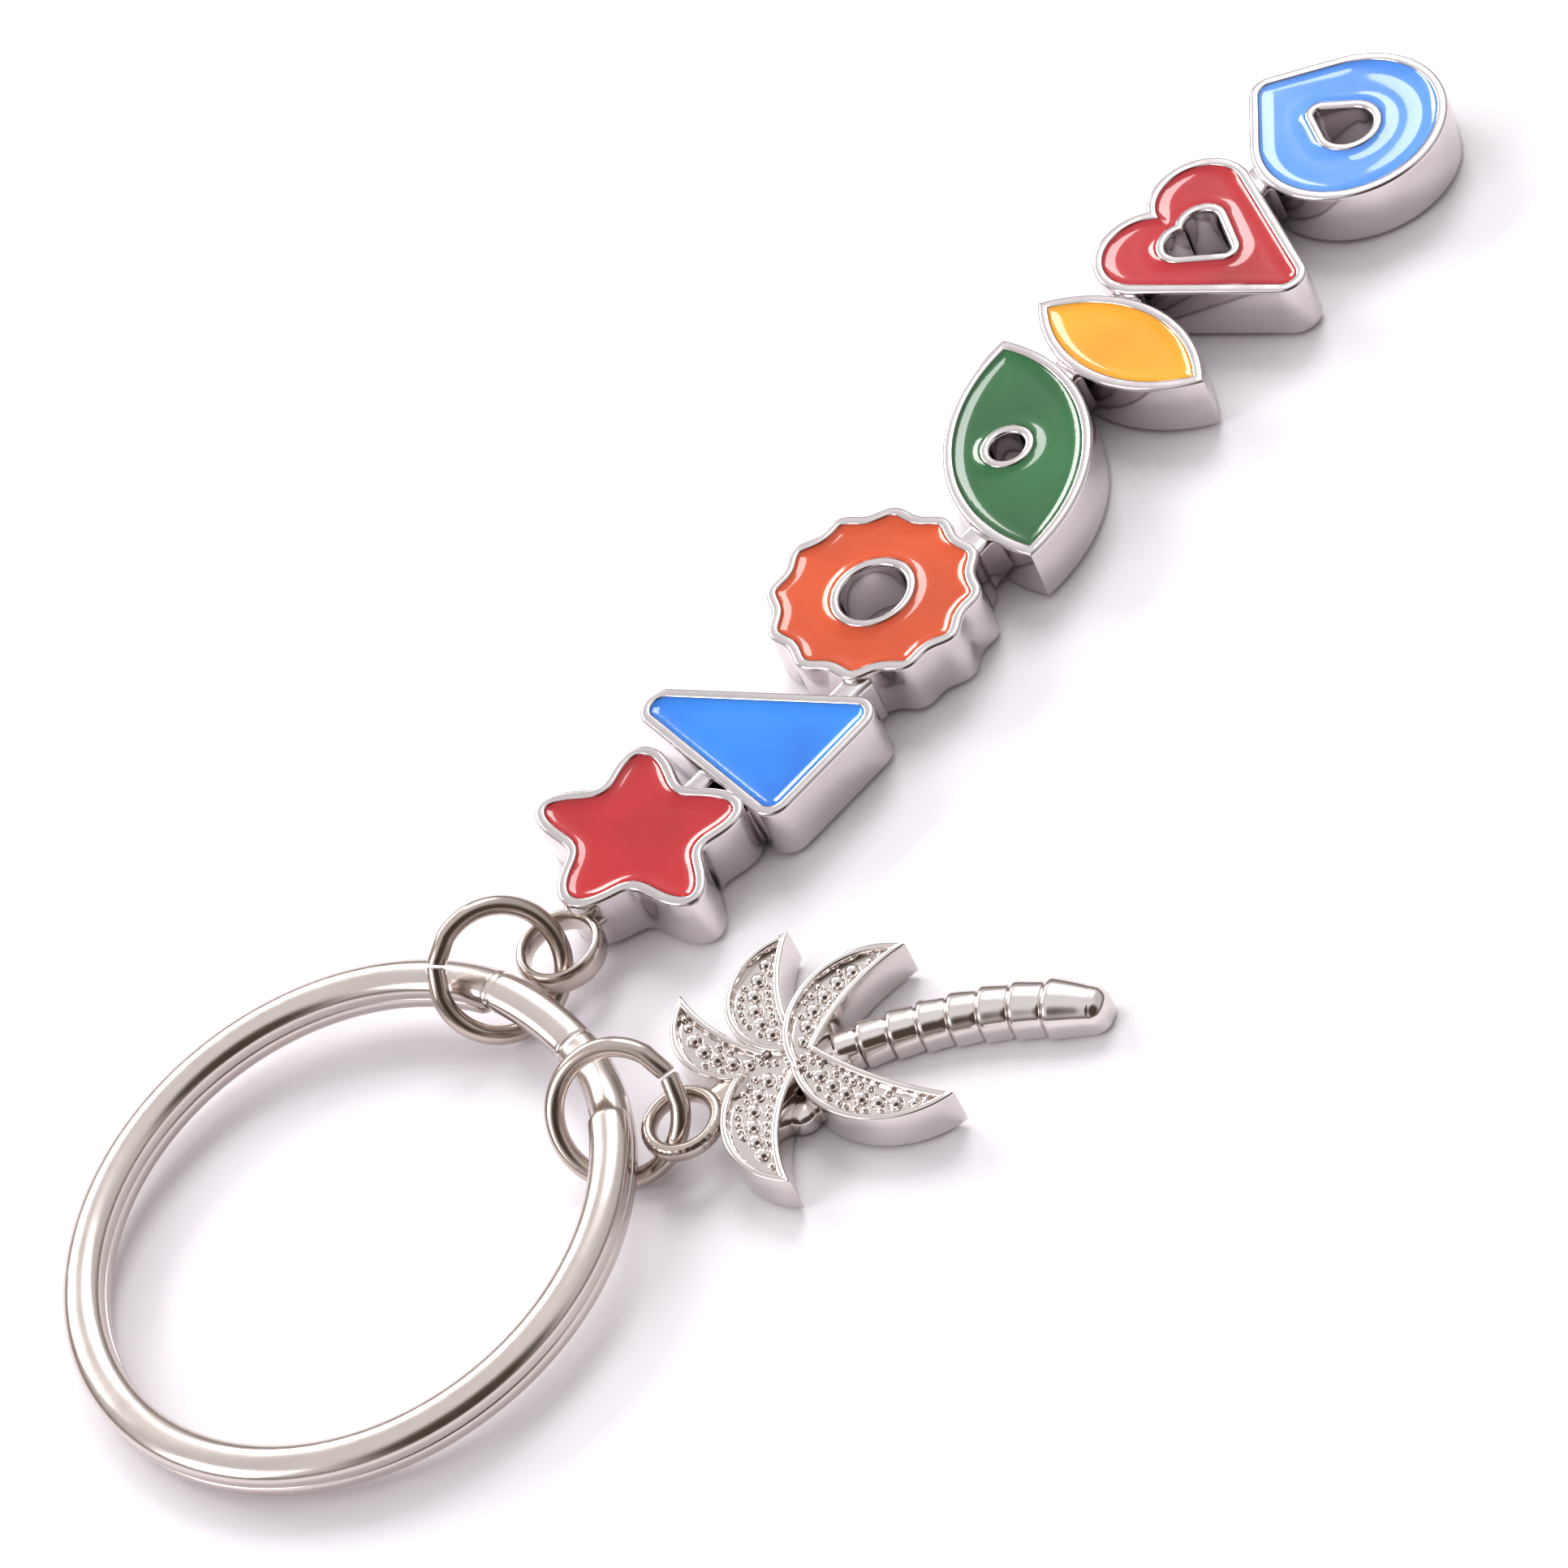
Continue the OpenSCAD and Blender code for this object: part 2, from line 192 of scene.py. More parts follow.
# ---------------------------------------------------------------- mesh helpers
class Skin:
    """Collects the vertices (mm), faces and UVs of one piece, then makes the object."""

    def __init__(self):
        self.v, self.f, self.uv, self.n = [], [], [], 0

    def add(self, v, f, uv=None):
        self.v.append(np.asarray(v, float))
        self.f += [tuple(int(i) + self.n for i in q) for q in f]
        self.uv.append(np.zeros((len(v), 2)) if uv is None else np.asarray(uv, float))
        self.n += len(v)

    def loft(self, rings, caps=(False, False), flip=False, uv=None):
        """Joins each closed ring of points to the next; flip turns the faces over."""
        n = len(rings[0])
        last = (len(rings) - 1) * n
        f = []
        for i in range(0, last, n):
            for j in range(n):
                a, b = i + j, i + (j + 1) % n
                f.append((a, b, b + n, a + n))
        if caps[0]:
            f.append(tuple(range(n))[::-1])
        if caps[1]:
            f.append(tuple(range(last, last + n)))
        self.add(np.concatenate(rings), [q[::-1] for q in f] if flip else f, uv)

    def build(self, name, material, body=None, stands_for=None, sharp=35, weld=0.002):
        """Makes the object; sharp is the least angle of a hard edge, or None for flat shading."""
        me = bpy.data.meshes.new(name)
        me.from_pydata([tuple(p) for p in np.concatenate(self.v) * MM], [], self.f)
        layer = me.uv_layers.new(name="along")
        loops = np.zeros(len(me.loops), np.int32)
        me.loops.foreach_get("vertex_index", loops)
        layer.data.foreach_set("uv", np.concatenate(self.uv)[loops].astype(np.float32).ravel())
        me.materials.append(material)
        bm = bmesh.new()
        bm.from_mesh(me)
        bmesh.ops.remove_doubles(bm, verts=bm.verts, dist=weld * MM)
        bm.to_mesh(me)
        bm.free()
        if sharp:
            me.shade_smooth()
            me.set_sharp_from_angle(angle=rad(sharp))
        me.update()
        ob = bpy.data.objects.new(name, me)
        bpy.context.scene.collection.objects.link(ob)
        if body:
            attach(ob, body)
        if stands_for:
            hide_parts(stands_for)
        return ob


def level(p, z):
    """The 2-D points p at height z."""
    p = np.asarray(p, float)
    return np.column_stack([p, np.full(len(p), z)])


def inside(pts, loop):
    x, y = pts[:, 0], pts[:, 1]
    hit = np.zeros(len(pts), bool)
    for (x0, y0), (x1, y1) in zip(loop, np.roll(loop, -1, 0)):
        if y0 != y1:
            cross = (y0 > y) != (y1 > y)
            hit ^= cross & (x < (x1 - x0) * (y - y0) / (y1 - y0) + x0)
    return hit


def edge_distance(pts, loop):
    best = np.full(len(pts), np.inf)
    for a, b in zip(loop, np.roll(loop, -1, 0)):
        ab = b - a
        t = np.clip(((pts - a) @ ab) / max(1e-12, ab @ ab), 0, 1)
        best = np.minimum(best, np.linalg.norm(pts - a - t[:, None] * ab, axis=1))
    return best


def grid_inside(loops, step, clear):
    """Points of a triangular grid in the area, at least clear away from its edges."""
    lo, hi = loops[0].min(0), loops[0].max(0)
    row = 0.87 * step  # rows of nearly even triangles
    gx, gy = np.meshgrid(np.arange(lo[0], hi[0], step), np.arange(lo[1], hi[1], row))
    gx = gx + (np.arange(gx.shape[0])[:, None] % 2) * step / 2
    g = np.column_stack([gx.ravel(), gy.ravel()])
    g = g[inside(g, loops[0])]
    for loop in loops[1:]:
        g = g[~inside(g, loop)]
    for loop in loops:
        g = g[edge_distance(g, loop) > clear]
    return g


def filled(loops, step=None, clear=None):
    """Triangles over the area inside loops[0] and outside the others, on a grid if step is given."""
    pts = np.concatenate(loops)
    edges, n = [], 0
    for loop in loops:
        edges += [(n + i, n + (i + 1) % len(loop)) for i in range(len(loop))]
        n += len(loop)
    if step:
        pts = np.concatenate([pts, grid_inside(loops, step, clear)])
    v, _, f, *_ = delaunay_2d_cdt([Vector(p) for p in pts], edges, [], 0, 1e-6)
    v = np.array([tuple(p) for p in v])
    f = np.array(f)
    mid = v[f].mean(1)
    keep = inside(mid, loops[0])
    for loop in loops[1:]:
        keep &= ~inside(mid, loop)
    a, b, c = v[f[:, 0]], v[f[:, 1]], v[f[:, 2]]
    turn = (b - a)[:, 0] * (c - a)[:, 1] - (b - a)[:, 1] * (c - a)[:, 0]
    f = np.where(turn[:, None] > 0, f, f[:, ::-1])
    return v, f[keep & (np.abs(turn) > 1e-9)]


# ---------------------------------------------------------------- materials
def linear(hexa):
    c = [int(hexa[i:i + 2], 16) / 255 for i in (1, 3, 5)]
    return tuple(x / 12.92 if x <= 0.04045 else ((x + 0.055) / 1.055) ** 2.4 for x in c)


def new_material(name):
    m = bpy.data.materials.new(name)
    m.use_nodes = True
    nt = m.node_tree
    nt.nodes.clear()
    out = nt.nodes.new("ShaderNodeOutputMaterial")
    b = nt.nodes.new("ShaderNodeBsdfPrincipled")
    nt.links.new(b.outputs[0], out.inputs[0])
    return m, nt, b


def noise_node(nt, scale, detail, rough, coords="Object", stretch=None):
    tc = nt.nodes.new("ShaderNodeTexCoord")
    n = nt.nodes.new("ShaderNodeTexNoise")
    n.inputs["Scale"].default_value = scale
    n.inputs["Detail"].default_value = detail
    n.inputs["Roughness"].default_value = rough
    src = tc.outputs[coords]
    if stretch:
        mp = nt.nodes.new("ShaderNodeMapping")
        mp.inputs["Scale"].default_value = stretch
        nt.links.new(src, mp.inputs["Vector"])
        src = mp.outputs[0]
    nt.links.new(src, n.inputs["Vector"])
    return n.outputs["Fac"]


def ramp(nt, fac, stops):
    """Colour ramp; stops are (position, colour)."""
    r = nt.nodes.new("ShaderNodeValToRGB")
    e = r.color_ramp.elements
    while len(e) < len(stops):
        e.new(0.5)
    for el, (p, c) in zip(e, stops):
        el.position = p
        el.color = (*c, 1)
    nt.links.new(fac, r.inputs[0])
    return r.outputs[0]


def remap(nt, fac, lo, hi):
    """Spreads the middle of a noise over lo to hi."""
    m = nt.nodes.new("ShaderNodeMapRange")
    m.inputs["From Min"].default_value, m.inputs["From Max"].default_value = 0.3, 0.7
    m.inputs["To Min"].default_value, m.inputs["To Max"].default_value = lo, hi
    nt.links.new(fac, m.inputs["Value"])
    return m.outputs[0]


def bump(nt, b, height, strength, distance):
    n = nt.nodes.new("ShaderNodeBump")
    n.inputs["Strength"].default_value = strength
    n.inputs["Distance"].default_value = distance
    nt.links.new(height, n.inputs["Height"])
    nt.links.new(n.outputs[0], b.inputs["Normal"])


def nickel(name, tint, dark, rough, grain=None, wave=0.06):
    """Nickel plate: slight tint changes, smudged gloss, and faint drawing lines or casting ripple."""
    m, nt, b = new_material(name)
    b.inputs["Metallic"].default_value = 1.0
    haze = noise_node(nt, scale=230, detail=3, rough=0.55)
    nt.links.new(ramp(nt, haze, [(0.3, dark), (0.72, tint)]), b.inputs["Base Color"])
    smudge = noise_node(nt, scale=900, detail=5, rough=0.65)
    nt.links.new(remap(nt, smudge, *rough), b.inputs["Roughness"])
    if grain:
        lines = noise_node(nt, scale=1.0, detail=4, rough=0.7, coords="UV", stretch=grain)
        bump(nt, b, lines, strength=0.10, distance=0.00002)
    else:
        ripple = noise_node(nt, scale=420, detail=3, rough=0.5)
        bump(nt, b, ripple, strength=wave, distance=0.0001)
    return m


def enamel(name, colour, deep, pale):
    """Poured enamel: strong colour, a little deeper in places, under a clear glossy surface."""
    m, nt, b = new_material(name)
    body = noise_node(nt, scale=150, detail=2, rough=0.45)
    shades = [(0.3, linear(deep)), (0.5, linear(colour)), (0.75, linear(pale))]
    nt.links.new(ramp(nt, body, shades), b.inputs["Base Color"])
    haze = noise_node(nt, scale=1300, detail=4, rough=0.6)
    nt.links.new(remap(nt, haze, 0.10, 0.16), b.inputs["Roughness"])
    b.inputs["Specular IOR Level"].default_value = 0.2
    b.inputs["Coat Weight"].default_value = 1.0
    b.inputs["Coat Roughness"].default_value = 0.03
    b.inputs["Coat IOR"].default_value = 1.5
    bump(nt, b, noise_node(nt, scale=260, detail=2, rough=0.4), strength=0.05, distance=0.0001)
    return m


ring_metal = nickel("nickel_wire", (0.68, 0.61, 0.575), (0.645, 0.575, 0.54), (0.17, 0.23), (2.0, 46.0, 1.0))
# the jump rings and both eyes get a darker, warmer copy of the plate: painted shade that stands in for the
# dark reflections on them
link_metal = nickel("nickel_link", (0.56, 0.485, 0.44), (0.50, 0.43, 0.385), (0.16, 0.22), (3.0, 30.0, 1.0))
cast_metal = nickel("nickel_cast", (0.73, 0.68, 0.68), (0.68, 0.63, 0.635), (0.07, 0.14))
charm_metal = nickel("nickel_charm", (0.77, 0.72, 0.695), (0.71, 0.66, 0.635), (0.07, 0.14), wave=0.10)
# the record's slot, then the colour, its deeper and its paler shade
ENAMELS = {"star": ("red_enamel", "#b9121b", "#a50c14", "#c21c25"),
           "sail": ("blue_enamel", "#1c82e8", "#1470d8", "#2f8eee"),
           "sun": ("orange_enamel", "#d24a0a", "#c04006", "#da5714"),
           "leaf": ("green_enamel", "#155f2a", "#0f5222", "#1f6d34"),
           "board": ("amber_enamel", "#f9a70c", "#f09a04", "#fdb424"),
           "heart": ("crimson_enamel", "#b5141e", "#a00e17", "#c0202a"),
           "drop": ("sky_blue_enamel", "#4a8fee", "#3b80e4", "#659ff2")}

# ---------------------------------------------------------------- bar of seven shapes
# a casting's section, as (inset, height): above the back, about the top, and from the hollow's wall
FOOT = [(0.30, 0.0), (0.16, 0.03), (0.05, 0.12), (0.0, 0.26)]
EDGE = [(0.0, -0.26), (0.012, -0.17), (0.045, -0.09), (0.10, -0.035), (0.17, -0.006), (0.22, 0.0)]
LIP = [(-0.12, 0.0), (-0.06, -0.012), (-0.02, -0.045), (0.0, -0.09), (0.0, -0.5)]
# the enamel's surface, as (distance from the hollow's wall, depth below the top): it climbs the wall
SURFACE = [(0.0, 0.06), (0.03, 0.083), (0.07, 0.112), (0.12, 0.137), (0.2, 0.166), (0.32, 0.194),
           (0.46, 0.215), (0.62, 0.229), (0.85, 0.238), (1.4, 0.232)]
CLIMB = SURFACE[:4]  # the part that is drawn as rings along the wall
CLIMB_W = CLIMB[-1][0]
NECK_FOOT, NECK_DROP = 0.3, 0.42  # a neck's underside above the back, and its top below the shapes' top
NECK_ROUND, NECK_WAIST = 0.35, 0.10


def cast_rings(line, rim):
    """Rings from the back, up the wall, over the rim and down into the hollow."""
    rings = FOOT + [(d, BAR_H + z) for d, z in EDGE] + [(rim + d, BAR_H + z) for d, z in LIP]
    return [level(line(d), z) for d, z in rings]


def make_shape(k):
    name = SHAPES[k]
    slot, *shades = ENAMELS[name]
    at = np.array([SHAPE_X[k], SHAPE_Y, BASE_Z])
    # each wall: its outline, the width of its rim, and whether it faces inwards
    walls = [(lambda d: outline(k, d), RIM, False)]
    if opening(k, 0) is not None:
        walls.append((lambda d: opening(k, d), HOLE_RIM, True))
    casting = Skin()
    for line, rim, inwards in walls:
        casting.loft([r + at for r in cast_rings(line, rim)], flip=inwards)
    v, f = filled([line(FOOT[0][0]) for line, _, _ in walls])
    casting.add(level(v, 0) + at, [tuple(t)[::-1] for t in f])
    for shape, *neck in NECKS:
        if shape == k:
            add_neck(casting, at, *neck)
    casting.build(name + "_casting", cast_metal, "bar", name + "_cast")

    pour = Skin()
    for line, rim, inwards in walls:
        pour.loft([level(line(rim + d), BAR_H - z) + at for d, z in CLIMB], flip=inwards)
    inner = [line(rim + CLIMB_W) for line, rim, _ in walls]
    v, f = filled(inner, step=0.15, clear=0.07)
    from_wall = np.min([edge_distance(v, loop) for loop in inner], 0) + CLIMB_W
    depth = np.interp(from_wall, *zip(*SURFACE))
    pour.add(np.column_stack([v, BAR_H - depth]) + at, [tuple(t) for t in f])
    fill = enamel(name + "_enamel_fill", *shades)
    pour.build(name + "_pour", fill, "bar", name + "_enamel", sharp=60, weld=0.0005)


def add_neck(skin, at, x0, x1, y, width):
    """A low bridge with rounded top edges between two shapes."""
    shoulder = BAR_H - NECK_DROP - NECK_ROUND
    prof = [(-width / 2, NECK_FOOT), (-width / 2, shoulder)]
    prof += [(-width / 2 + NECK_ROUND * (1 - cos(a)), shoulder + NECK_ROUND * sin(a))
             for a in np.linspace(0.2, pi / 2, 6)]
    prof += [(-p, z) for p, z in prof[::-1]]
    rings = []
    for x in np.linspace(x0, x1, 9):
        u = 2 * (x - x0) / (x1 - x0) - 1
        pinch = 1 - NECK_WAIST * (1 - u * u)  # the neck is waisted between the shapes
        rings.append(np.array([[x, y + p * pinch, z] for p, z in prof]) + at)
    skin.loft(rings, caps=(True, True), flip=True)


for k in range(len(SHAPES)):
    make_shape(k)


# ---------------------------------------------------------------- eyes
def lathe(skin, centre, prof, n=96, wobble=None):
    """Ring of revolution about a vertical axis; prof is a closed loop of (radius, height)."""
    rings = []
    for i in range(n + 1):
        a = 2 * pi * i / n
        radii = [r + (wobble(a, r) if wobble else 0) for r, _ in prof]
        rings.append(np.array([[r * cos(a), r * sin(a), z] for r, (_, z) in zip(radii, prof)]) + centre)
    uv = np.array([[4 * i / n, j / len(prof)] for i in range(n + 1) for j in range(len(prof))])
    skin.loft(rings, uv=uv, flip=True)


def soft_power(x, p):
    """x to the power p, with its sign kept; below 1 it makes a round corner squarer."""
    return np.sign(x) * abs(x) ** p


def rounded_section(r_mid, hw, hh, square=2.2, n=28):
    """Section of an eye: half width hw and half height hh about the radius r_mid."""
    t = 2 * pi * np.arange(n) / n
    return [(r_mid + hw * soft_power(a, 2 / square), hh * soft_power(b, 2 / square))
            for a, b in zip(cos(t), sin(t))]


def make_bar_eye():
    skin = Skin()
    lathe(skin, BAR_EYE, rounded_section(2.15, 0.35, 0.75))
    x0, x1 = 2.0, 3.6  # the root that runs into the first shape, from the eye's middle
    a = 2 * pi * np.arange(20) / 20
    rings = []
    for x in np.linspace(x0, x1, 6):
        half = 1.15 * (0.75 + 0.25 * (x - x0) / (x1 - x0))
        rings.append(np.column_stack([np.full(20, x), 0.35 + half * cos(a), 0.62 * sin(a)]) + BAR_EYE)
    skin.loft(rings, caps=(True, True))
    skin.build("eye_of_bar", link_metal, "bar", "bar_eye")


def file_marks(a, r):
    """Faint marks on the outside of the charm's eye, away from the fronds."""
    outer = r > 1.85
    return 0.012 * (0.5 + 0.5 * cos(a - rad(215))) * cos(34 * a) * outer


def make_charm_eye():
    skin = Skin()
    lathe(skin, CHARM_EYE, rounded_section(1.86, 0.40, 0.5), n=240, wobble=file_marks)
    x0, x1, heading = 1.8, 3.6, rad(-12)  # the root that runs into the crown
    a = 2 * pi * np.arange(24) / 24
    rings = []
    for x in np.linspace(x0, x1, 9):
        y = (0.85 + 0.2 * ((x - x0) / (x1 - x0)) ** 2) * cos(a)
        z = 0.38 * soft_power(sin(a), 0.7) - 0.2
        flat = [x * cos(heading) - y * sin(heading), x * sin(heading) + y * cos(heading)]
        rings.append(np.column_stack([*flat, z]) + CHARM_EYE)
    skin.loft(rings, caps=(True, True))
    skin.build("eye_of_charm", link_metal, "charm", "charm_eye")


make_bar_eye()

# ---------------------------------------------------------------- split ring
RING_R, RING_HW = 14.9, 1.1  # middle of the wire, and half its width
TURN_H, HALF_SEAM = 1.25, 0.02  # height of one turn, and half the seam between the two
CROWN_Z, CROWN_H = 0.50, 0.75  # where the rounded crown starts, and how high it is
WIRE_CORNER = 0.14
END_UP, END_LOW = 324.0, -346.0  # angles of the upper and the lower turn's cut end
JOG = 11.0  # the wire steps down from the upper to the lower turn between +JOG and -JOG
TURN_OVER, TURN_RUN = -12.0, 21.0  # where the section starts to turn over, and over how many degrees
END_ROUND = 1.2  # degrees over which a cut end is rounded
CRIMPS = [(-JOG + 0.2, 0.075, 0.34), (JOG - 0.3, 0.05, 0.5)]  # (angle, depth, width) of the bends' marks
UV_MM = 10  # length of wire to one unit of UV


def ring_section():
    """Wire section as (radial offset, height): flat mating face, rounded walls and crown."""
    w, pts = RING_HW, []
    for a in rad(np.linspace(-90, 0, 6)):
        pts.append((w - WIRE_CORNER + WIRE_CORNER * cos(a), HALF_SEAM + WIRE_CORNER * (1 + sin(a))))
    for a in rad(np.linspace(0, 180, 37)):
        pts.append((w * cos(a), CROWN_Z + CROWN_H * sin(a)))
    for a in rad(np.linspace(180, 270, 6)):
        pts.append((WIRE_CORNER - w + WIRE_CORNER * cos(a), HALF_SEAM + WIRE_CORNER * (1 + sin(a))))
    return np.array(pts)


def upside_down(section, centre):
    """The section with its crown below, its points in the same angular order as before."""
    ang = np.arctan2(section[:, 1] - centre[1], section[:, 0])
    over = np.column_stack([section[:, 0], TURN_H - section[:, 1]]) - centre
    over_ang = np.arctan2(over[:, 1], over[:, 0])
    order = np.argsort(over_ang)
    over_ang = over_ang[order]
    reach = np.linalg.norm(over, axis=1)[order]
    over_ang = np.concatenate([over_ang - 2 * pi, over_ang, over_ang + 2 * pi])
    r = np.interp(ang, over_ang, np.tile(reach, 3))
    return centre + np.column_stack([r * cos(ang), r * sin(ang)])


def smooth(t):
    t = min(1.0, max(0.0, t))
    return t * t * (3 - 2 * t)


def make_split_ring():
    tilt = np.array(Matrix.Rotation(math.atan2(RING_AXIS[0], RING_AXIS[2]), 3, "Y"))
    centre = np.array([0, TURN_H / 2])
    up = ring_section()
    low = upside_down(up, centre)
    # angles of the sections: close together at the cut ends and through the step
    stops = [END_UP - a for a in (0, 0.10, 0.30, 0.65, END_ROUND)]
    stops += list(np.arange(END_UP - 2.5, 14, -1.5))
    stops += list(np.arange(13.5, -14.01, -0.25))
    stops += list(np.arange(-15, END_LOW + 2.5, -1.5))
    stops += [END_LOW + a for a in (END_ROUND, 0.65, 0.30, 0.10, 0)]
    rings, uv = [], []
    for th in stops:
        stepped = min(1.0, max(0.0, (JOG - th) / (2 * JOG)))
        turned_over = smooth((TURN_OVER - th) / TURN_RUN)
        sec = up + (low - up) * turned_over
        to_end = min(END_UP - th, th - END_LOW)
        shrink = 1.0
        if to_end < END_ROUND:
            shrink = 0.80 + 0.20 * math.sqrt(max(0.0, 1 - (1 - to_end / END_ROUND) ** 2))
        for at, depth, width in CRIMPS:
            u = (th - at) / width
            shrink -= depth * math.exp(-u * u) - 0.4 * depth * math.exp(-((u - 2.1) ** 2))
        sec = centre + (sec - centre) * shrink
        r = RING_R + sec[:, 0]
        p = np.column_stack([r * cos(rad(th)), r * sin(rad(th)), sec[:, 1] - TURN_H * stepped])
        rings.append(p @ tilt.T)
        uv += [(rad(END_UP - th) * RING_R / UV_MM, 0.6 * j / len(sec)) for j in range(len(sec))]
    skin = Skin()
    skin.loft(rings, caps=(True, True), uv=uv)
    skin.build("split_ring_wire", ring_metal, "split_ring", "split_ring", sharp=40)


make_split_ring()

# ---------------------------------------------------------------- jump rings
LINK_R, LINK_WIRE_R, LINK_GAP = 3.45, 0.53, 0.16
LINK_END = 0.035  # angle, in radians, over which a cut end is rounded


def make_link(name, body, node, heading, lean, cut):
    """Open jump ring in the middle of its CAD node; heading, lean and the place of its cut in degrees."""
    c = np.mean(cad(node), 0)
    az, lean, cut = rad(heading), rad(lean), rad(cut)
    e1 = np.array([cos(az) * cos(lean), sin(az) * cos(lean), sin(lean)])
    e2 = np.array([-sin(az), cos(az), 0])
    e3 = np.cross(e1, e2)
    half_gap = LINK_GAP / 2 / LINK_R
    run = 2 * pi - 2 * half_gap
    ends = [0, 0.012, LINK_END]
    steps = ends + list(np.linspace(0.07, 0.93, 150) * run) + [run - s for s in ends[::-1]]
    rings, uv = [], []
    for s in steps:
        to_end = min(1.0, min(s, run - s) / LINK_END)
        r = LINK_WIRE_R * (0.86 + 0.14 * math.sqrt(max(0.0, 1 - (1 - to_end) ** 2)))
        t = cut + half_gap + s
        radial = cos(t) * e1 + sin(t) * e2
        a = 2 * pi * np.arange(32)[:, None] / 32
        rings.append(c + radial * (LINK_R + r * cos(a)) + e3 * r * sin(a))
        uv += [(s * LINK_R / UV_MM, 0.33 * j / 32) for j in range(32)]
    skin = Skin()
    skin.loft(rings, caps=(True, True), uv=uv, flip=True)
    skin.build(name, link_metal, body, node)


make_link("jump_ring_of_bar", "bar_link", "bar_jump_ring", heading=79.06, lean=56.7, cut=49)
make_link("jump_ring_of_charm", "charm_link", "charm_jump_ring", heading=38.65, lean=44.5, cut=-61.5)

# ---------------------------------------------------------------- palm charm
FROND_H = 2.45
# (base, tip, bow of the outer edge, bow of the inner edge, side it bows to) of each frond
FRONDS = [((20.39, -14.37), (19.91, -6.04), 3.41, 0.78, 1),
          ((21.08, -14.59), (25.99, -8.32), 4.0, 0.87, 1),
          ((19.65, -15.85), (28.72, -14.64), 3.76, 0.97, 1),
          ((21.46, -13.1), (23.15, -23.74), 3.53, 0.61, -1),
          ((22.97, -14.85), (14.51, -20.02), 4.98, 1.61, -1)]
OVER = [(1, 2, 3), (), (), (2,), (0, 1, 3)]  # fronds that lie over each frond
TRAYS = [(0, 4), (1,), (2, 3), (2, 3), (0, 4)]  # trays that run together
TOP_FROND, UNDER_TOP = 2, (1, 4)  # the frond on top, and those that its whole outer circle cuts
ROOT_FROND, ROOT_CUT = 0, 4  # the frond that has the crown's middle disc, and the one cut round it
ROOT, ROOT_R = (19.9, -14.0), 0.9
FROND_RIM, FROND_TRAY = 0.40, 0.42  # width of a frond's rim, and depth of its tray
FIT = 0.012  # how far a cut runs past the frond that lies over it
FROND_EDGE = [(0.16, 0.0), (0.07, 0.03), (0.015, 0.10), (0.0, 0.2), (0.0, FROND_H - 0.13),
              (0.012, FROND_H - 0.07), (0.045, FROND_H - 0.025), (0.10, FROND_H)]  # (inset, height)


def frond_circles(k):
    """Outer and inner circle of frond k, and its base, direction, side and length."""
    base, tip, bow_out, bow_in, side = FRONDS[k]
    base, tip = np.array(base), np.array(tip)
    c = np.linalg.norm(tip - base)
    u = (tip - base) / c
    n = side * np.array([-u[1], u[0]])
    r1, r2 = [(c * c / 4 + bow * bow) / (2 * bow) for bow in (bow_out, bow_in)]
    m = (base + tip) / 2
    return m + n * (bow_out - r1), r1, m + n * (bow_in - r2), r2, base, u, n, c


def arc_between(centre, r, p, q, bulge, count):
    """Arc from p towards q on the side that bulge points to."""
    a0 = math.atan2(*(p - centre)[::-1])
    a1 = math.atan2(*(q - centre)[::-1])
    while a1 - a0 > pi:
        a1 -= 2 * pi
    while a1 - a0 < -pi:
        a1 += 2 * pi
    if cos((a0 + a1) / 2 - math.atan2(*bulge[::-1])) < 0:
        a1 += -2 * pi if a1 > a0 else 2 * pi
    t = a0 + (a1 - a0) * np.arange(count) / count
    return centre + r * np.column_stack([cos(t), sin(t)])


def crescent(k, d):
    """Outline of frond k, drawn smaller by d, counter-clockwise."""
    c1, r1, c2, r2, base, u, n, _ = frond_circles(k)
    r1, r2 = r1 - d, r2 + d
    l = np.linalg.norm(c2 - c1)
    e = (c2 - c1) / l
    x = (l * l + r1 * r1 - r2 * r2) / (2 * l)
    h = math.sqrt(max(1e-9, r1 * r1 - x * x))
    f = np.array([-e[1], e[0]])
    start, end = sorted([c1 + e * x + f * h, c1 + e * x - f * h], key=lambda p: (p - base) @ u)
    loop = np.concatenate([arc_between(c1, r1, end, start, n, 56), arc_between(c2, r2, start, end, n, 40)])
    x, y = loop[:, 0], loop[:, 1]
    area = (x * np.roll(y, -1) - np.roll(x, -1) * y).sum()
    return loop if area > 0 else loop[::-1]


def tool(rings):
    """Closed solid through the given stacked rings, used to cut or to be joined on."""
    skin = Skin()
    skin.loft(rings)
    for ring, up in ((rings[0], False), (rings[-1], True)):
        v, f = filled([ring[:, :2]])
        skin.add(level(v, ring[0, 2]), [tuple(t) if up else tuple(t)[::-1] for t in f])
    return skin.build("tool", charm_metal, sharp=None, weld=0.0008)


def combine(ob, operation, others):
    """Joins or cuts each of the others into ob, then drops them."""
    for c in others:
        mod = ob.modifiers.new(operation, "BOOLEAN")
        mod.operation, mod.object, mod.solver = operation, c, "EXACT"
    bpy.context.view_layer.update()
    me = bpy.data.meshes.new_from_object(ob.evaluated_get(bpy.context.evaluated_depsgraph_get()))
    ob.modifiers.clear()
    ob.data = me
    for c in others:
        bpy.data.objects.remove(c)


